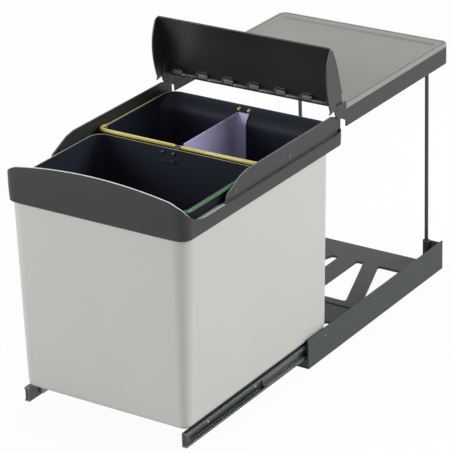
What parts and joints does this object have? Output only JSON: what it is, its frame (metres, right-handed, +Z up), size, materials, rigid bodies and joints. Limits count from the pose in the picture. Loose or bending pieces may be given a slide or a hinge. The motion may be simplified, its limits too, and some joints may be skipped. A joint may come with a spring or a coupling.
{
  "type": "pull out waste bin unit",
  "caption": "Pull-out waste bin unit for a kitchen base cabinet: collared container with bag rings on ball runners, a floor tray, and a shelf whose hinged lid drops as the bin slides in.",
  "frame": {"origin": "middle of the four floor screws, on the underside of the base tray", "axes": "+X to the user's right, -Y towards the cabinet door (the bin pulls out along -Y), +Z up"},
  "size_m": [0.336, 0.802, 0.531],
  "materials": {
    "dark_plastic": "fine grained moulding",
    "shelf_grey": "satin moulding",
    "post_steel": "dark grey powder coat",
    "bin_grey": "satin moulding",
    "bucket_black": "semi-gloss moulding",
    "bag_ring_green": "gloss coating",
    "bag_ring_yellow": "gloss coating",
    "clip_black": "moulded",
    "divider_violet": "translucent moulding",
    "runner_steel": "black zinc finish",
    "cage_plastic": "moulded",
    "ball_steel": "polished",
    "screw_steel": "zinc plated",
    "plate_dark": "dark grey powder coat"
  },
  "bodies": {
    "cabinet": {"base_tray": "dark_plastic", "post_left": "post_steel", "post_right": "post_steel", "shelf_frame": "dark_plastic", "shelf_tray": "shelf_grey", "hinge_rod": "screw_steel", "runner_fixed_left": "runner_steel", "runner_fixed_right": "runner_steel", "runner_screws": "screw_steel"},
    "lid": {"lid": "dark_plastic"},
    "bin": {"container": "bin_grey", "container_screws": "screw_steel", "collar": "dark_plastic", "side_plate_left": "plate_dark", "side_plate_right": "plate_dark", "plate_rivets": "screw_steel", "front_bucket": "bucket_black", "rear_bucket": "bucket_black", "green_bag_ring": "bag_ring_green", "yellow_bag_ring_left": "bag_ring_yellow", "yellow_bag_ring_right": "bag_ring_yellow", "front_ring_clip": "clip_black", "green_ring_clip": "clip_black", "divider": "divider_violet", "runner_moving_left": "runner_steel", "runner_moving_right": "runner_steel", "runner_stop_left": "clip_black", "runner_stop_right": "clip_black"},
    "middle_left": {"runner_middle_left": "runner_steel"},
    "middle_right": {"runner_middle_right": "runner_steel"},
    "inner_cage_left": {"inner_cage_left": "cage_plastic", "inner_balls_left": "ball_steel"},
    "inner_cage_right": {"inner_cage_right": "cage_plastic", "inner_balls_right": "ball_steel"},
    "outer_cage_left": {"outer_cage_left": "cage_plastic", "outer_balls_left": "ball_steel"},
    "outer_cage_right": {"outer_cage_right": "cage_plastic", "outer_balls_right": "ball_steel"}
  },
  "joints": [
    {"name": "bin_slide", "type": "slide", "parent": "cabinet", "child": "bin", "axis": [0, 1, 0], "range_m": [0, 0.33]},
    {"name": "lid_hinge", "type": "hinge", "parent": "cabinet", "child": "lid", "pos_m": [0, -0.124, 0.424], "axis": [1, 0, 0], "range_deg": [0, 72]},
    {"name": "middle_left_slide", "type": "slide", "parent": "cabinet", "child": "middle_left", "axis": [0, 1, 0], "range_m": [0, 0.165]},
    {"name": "inner_cage_left_slide", "type": "slide", "parent": "cabinet", "child": "inner_cage_left", "axis": [0, 1, 0], "range_m": [0, 0.2475]},
    {"name": "outer_cage_left_slide", "type": "slide", "parent": "cabinet", "child": "outer_cage_left", "axis": [0, 1, 0], "range_m": [0, 0.0825]},
    {"name": "middle_right_slide", "type": "slide", "parent": "cabinet", "child": "middle_right", "axis": [0, 1, 0], "range_m": [0, 0.165]},
    {"name": "inner_cage_right_slide", "type": "slide", "parent": "cabinet", "child": "inner_cage_right", "axis": [0, 1, 0], "range_m": [0, 0.2475]},
    {"name": "outer_cage_right_slide", "type": "slide", "parent": "cabinet", "child": "outer_cage_right", "axis": [0, 1, 0], "range_m": [0, 0.0825]}
  ],
  "couplings": [
    {"joint": "lid_hinge", "follows": "bin_slide", "rad_per_m": 3.8079},
    {"joint": "middle_left_slide", "follows": "bin_slide", "ratio": 0.5},
    {"joint": "inner_cage_left_slide", "follows": "bin_slide", "ratio": 0.75},
    {"joint": "outer_cage_left_slide", "follows": "bin_slide", "ratio": 0.25},
    {"joint": "middle_right_slide", "follows": "bin_slide", "ratio": 0.5},
    {"joint": "inner_cage_right_slide", "follows": "bin_slide", "ratio": 0.75},
    {"joint": "outer_cage_right_slide", "follows": "bin_slide", "ratio": 0.25}
  ]
}
